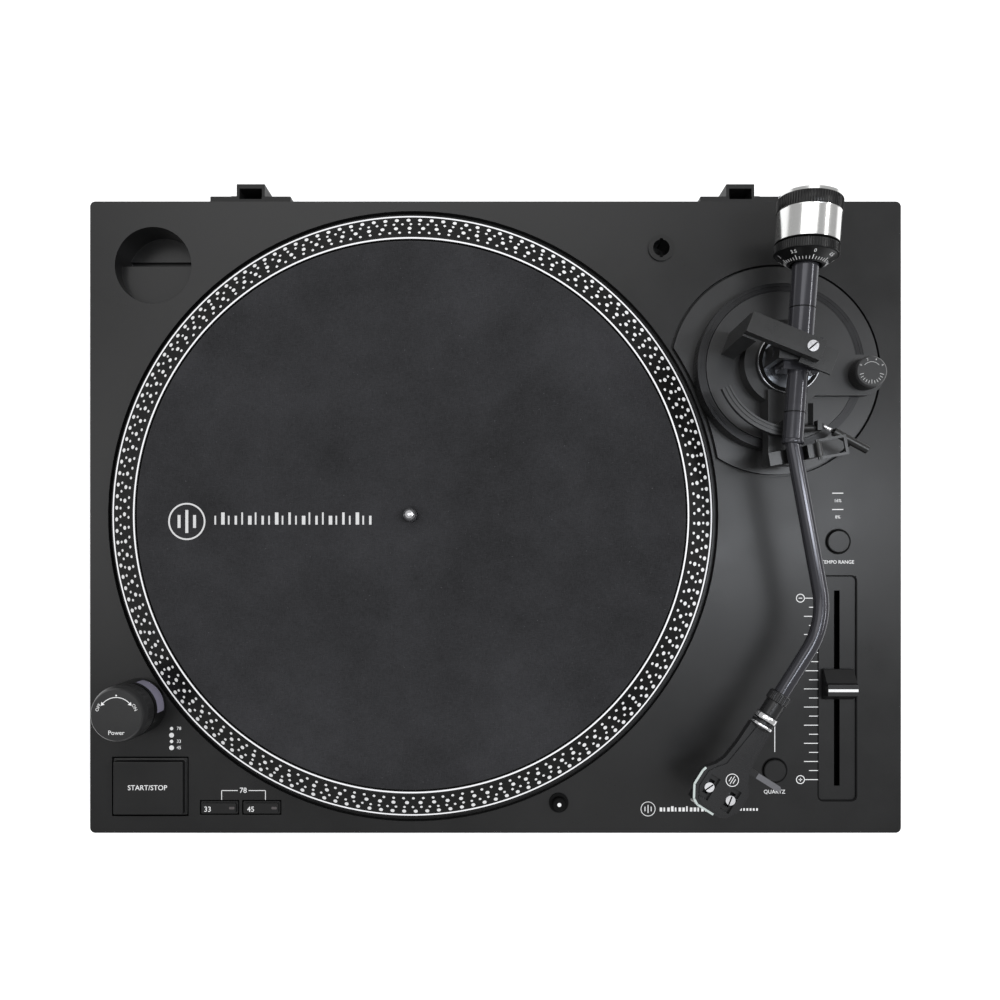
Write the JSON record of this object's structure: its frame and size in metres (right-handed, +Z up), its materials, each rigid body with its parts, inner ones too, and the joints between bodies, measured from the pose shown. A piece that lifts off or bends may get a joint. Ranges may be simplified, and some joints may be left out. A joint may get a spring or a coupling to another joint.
{
  "type": "turntable record player",
  "caption": "Direct-drive turntable with a dotted strobe platter, felt slipmat, S-shaped tonearm on a height-adjustable gimbal base, tempo fader, power tower and push keys.",
  "frame": {"origin": "on the floor under the middle of the overall footprint", "axes": "+X to the tonearm side, +Y to the back, +Z up"},
  "size_m": [0.452, 0.3626, 0.1537],
  "materials": {
    "deck_black": "satin moulded",
    "tray_black": "matt moulded",
    "steel": "zinc plated",
    "foot_rubber": "matt",
    "copper": "enamelled wire",
    "bronze": "turned",
    "board_green": "satin",
    "platter_alloy": "black anodised, bright turned edges",
    "bright_steel": "polished",
    "magnet": "sintered",
    "felt": "napped",
    "trim_black": "fine satin",
    "window_tint": "clear tinted",
    "lamp_window": "smoked",
    "bright_trim": "polished",
    "gold": "plated",
    "socket_steel": "plated",
    "arm_base_black": "satin",
    "arm_black": "satin black",
    "hub_steel": "turned",
    "weight_steel": "polished band, black knurled ring",
    "dial_black": "satin, white scale",
    "cartridge_black": "satin",
    "stylus_plastic": "satin"
  },
  "bodies": {
    "root": {"top_plinth": "deck_black", "bottom_base": "tray_black", "base_screws": "steel", "motor_plate": "steel", "motor_stator": "copper", "spindle_bearing": "bronze", "circuit_boards": "board_green", "strobe_housing": "trim_black", "strobe_window": "window_tint", "pitch_panel": "trim_black", "fader_body": "steel", "lamp_collar": "bright_trim", "headshell_holder": "trim_black", "hinge_sockets": "trim_black", "jack_panel": "trim_black", "rca_jacks": "gold", "ground_post": "bright_steel", "usb_port": "socket_steel", "dc_jack": "trim_black", "arm_base_plate": "arm_base_black"},
    "platter": {"platter": "platter_alloy", "spindle": "bright_steel", "rotor_magnet": "magnet"},
    "slipmat": {"slipmat": "felt"},
    "power_knob": {"power_knob": "trim_black"},
    "start_button": {"start_button": "trim_black"},
    "button_33": {"button_33": "trim_black", "window_33": "lamp_window"},
    "button_45": {"button_45": "trim_black", "window_45": "lamp_window"},
    "tempo_button": {"tempo_button": "trim_black"},
    "quartz_button": {"quartz_button": "trim_black"},
    "pitch_fader": {"pitch_fader": "trim_black"},
    "target_lamp": {"target_lamp": "bright_trim"},
    "line_switch": {"line_switch": "trim_black"},
    "ground_nut": {"ground_nut": "bright_steel"},
    "height_ring": {"height_ring": "arm_base_black"},
    "arm_mount": {"arm_pillar": "arm_base_black", "arm_bridge": "arm_base_black", "pivot_screw": "bright_steel", "arm_rest": "trim_black"},
    "antiskate_knob": {"antiskate_knob": "trim_black"},
    "cue_lever": {"cue_lever": "arm_base_black"},
    "lift_platform": {"lift_platform": "arm_base_black"},
    "rest_clip": {"rest_clip": "trim_black"},
    "gimbal": {"gimbal_frame": "arm_base_black"},
    "arm": {"arm_tube": "arm_black", "counterweight_shaft": "arm_black"},
    "weight_hub": {"counterweight_hub": "hub_steel"},
    "counterweight": {"counterweight": "weight_steel"},
    "force_dial": {"force_dial": "dial_black"},
    "headshell_collar": {"headshell_collar": "arm_black"},
    "headshell": {"headshell": "arm_black", "cartridge": "cartridge_black", "cartridge_screws": "bright_steel"},
    "stylus": {"stylus": "stylus_plastic"},
    "foot_front_left": {"foot_front_left": "foot_rubber"},
    "foot_front_right": {"foot_front_right": "foot_rubber"},
    "foot_rear_left": {"foot_rear_left": "foot_rubber"},
    "foot_rear_right": {"foot_rear_right": "foot_rubber"}
  },
  "joints": [
    {"name": "platter_spin", "type": "hinge", "parent": "root", "child": "platter", "pos_m": [-0.0459, -0.00475, 0.093], "axis": [0, 0, -1], "continuous": true},
    {"name": "slipmat_slip", "type": "hinge", "parent": "platter", "child": "slipmat", "pos_m": [-0.0459, -0.00475, 0.105], "axis": [0, 0, -1], "continuous": true},
    {"name": "power_turn", "type": "hinge", "parent": "root", "child": "power_knob", "pos_m": [-0.1987, -0.11025, 0.113], "axis": [0, 0, -1], "range_deg": [0, 60]},
    {"name": "start_press", "type": "slide", "parent": "root", "child": "start_button", "axis": [0, 0, -1], "range_m": [0, 0.0012], "stiffness_N_per_m": 600},
    {"name": "press_33", "type": "slide", "parent": "root", "child": "button_33", "axis": [0, 0, -1], "range_m": [0, 0.001], "stiffness_N_per_m": 400},
    {"name": "press_45", "type": "slide", "parent": "root", "child": "button_45", "axis": [0, 0, -1], "range_m": [0, 0.001], "stiffness_N_per_m": 400},
    {"name": "tempo_press", "type": "slide", "parent": "root", "child": "tempo_button", "axis": [0, 0, -1], "range_m": [0, 0.0012], "stiffness_N_per_m": 400},
    {"name": "quartz_press", "type": "slide", "parent": "root", "child": "quartz_button", "axis": [0, 0, -1], "range_m": [0, 0.0012], "stiffness_N_per_m": 400},
    {"name": "pitch_slide", "type": "slide", "parent": "root", "child": "pitch_fader", "axis": [0, -1, 0], "range_m": [-0.0505, 0.0505]},
    {"name": "lamp_pop", "type": "slide", "parent": "root", "child": "target_lamp", "axis": [0, 0, 1], "range_m": [0, 0.018]},
    {"name": "line_switch_slide", "type": "slide", "parent": "root", "child": "line_switch", "axis": [1, 0, 0], "range_m": [0, 0.003]},
    {"name": "ground_nut_turn", "type": "hinge", "parent": "root", "child": "ground_nut", "pos_m": [-0.052, 0.17475, 0.069], "axis": [0, 1, 0], "range_deg": [0, 270]},
    {"name": "foot_front_left_screw", "type": "slide", "parent": "root", "child": "foot_front_left", "axis": [0, 0, -1], "range_m": [0, 0.008]},
    {"name": "foot_front_right_screw", "type": "slide", "parent": "root", "child": "foot_front_right", "axis": [0, 0, -1], "range_m": [0, 0.008]},
    {"name": "foot_rear_left_screw", "type": "slide", "parent": "root", "child": "foot_rear_left", "axis": [0, 0, -1], "range_m": [0, 0.008]},
    {"name": "foot_rear_right_screw", "type": "slide", "parent": "root", "child": "foot_rear_right", "axis": [0, 0, -1], "range_m": [0, 0.008]},
    {"name": "arm_height", "type": "slide", "parent": "root", "child": "arm_mount", "axis": [0, 0, 1], "range_m": [0, 0.006]},
    {"name": "height_ring_turn", "type": "hinge", "parent": "root", "child": "height_ring", "pos_m": [0.1555, 0.07625, 0.099], "axis": [0, 0, 1], "range_deg": [0, 60]},
    {"name": "antiskate_turn", "type": "hinge", "parent": "arm_mount", "child": "antiskate_knob", "pos_m": [0.1985, 0.07065, 0.113], "axis": [0, 0, -1], "range_deg": [0, 270]},
    {"name": "cue_lever_lift", "type": "hinge", "parent": "arm_mount", "child": "cue_lever", "pos_m": [0.1605, 0.04175, 0.112], "axis": [-1, 0, 0], "range_deg": [0, 40]},
    {"name": "lift_rise", "type": "slide", "parent": "arm_mount", "child": "lift_platform", "axis": [0, 0, 1], "range_m": [0, 0.001]},
    {"name": "rest_clip_close", "type": "hinge", "parent": "arm_mount", "child": "rest_clip", "pos_m": [0.16388, 0.02718, 0.1382], "axis": [0.1805, -0.9836, 0], "range_deg": [0, 180]},
    {"name": "arm_swing", "type": "hinge", "parent": "arm_mount", "child": "gimbal", "pos_m": [0.1555, 0.07625, 0.133], "axis": [0, 0, -1], "range_deg": [0, 45]},
    {"name": "arm_tilt", "type": "hinge", "parent": "gimbal", "child": "arm", "pos_m": [0.1555, 0.07625, 0.133], "axis": [-0.9973, 0.0732, 0], "range_deg": [-1.4, 11]},
    {"name": "counterweight_travel", "type": "slide", "parent": "arm", "child": "weight_hub", "axis": [0.0732, 0.9973, 0], "range_m": [-0.005, 0.005]},
    {"name": "counterweight_turn", "type": "hinge", "parent": "weight_hub", "child": "counterweight", "pos_m": [0.15989, 0.13609, 0.133], "axis": [-0.0732, -0.9973, 0], "range_deg": [-514.3, 514.3]},
    {"name": "force_dial_turn", "type": "hinge", "parent": "counterweight", "child": "force_dial", "pos_m": [0.15916, 0.12612, 0.133], "axis": [-0.0732, -0.9973, 0], "continuous": true},
    {"name": "headshell_collar_turn", "type": "hinge", "parent": "arm", "child": "headshell_collar", "pos_m": [0.14266, -0.10339, 0.133], "axis": [-0.5329, -0.8462, 0], "range_deg": [0, 60]},
    {"name": "headshell_pull", "type": "slide", "parent": "arm", "child": "headshell", "axis": [-0.5329, -0.8462, 0], "range_m": [0, 0.012]},
    {"name": "stylus_pull", "type": "slide", "parent": "headshell", "child": "stylus", "axis": [-0.5329, -0.8462, 0], "range_m": [0, 0.006]}
  ],
  "couplings": [
    {"joint": "height_ring_turn", "follows": "arm_height", "rad_per_m": 174.36},
    {"joint": "cue_lever_lift", "follows": "lift_rise", "rad_per_m": 697.43},
    {"joint": "counterweight_turn", "follows": "counterweight_travel", "rad_per_m": 1793.4}
  ]
}
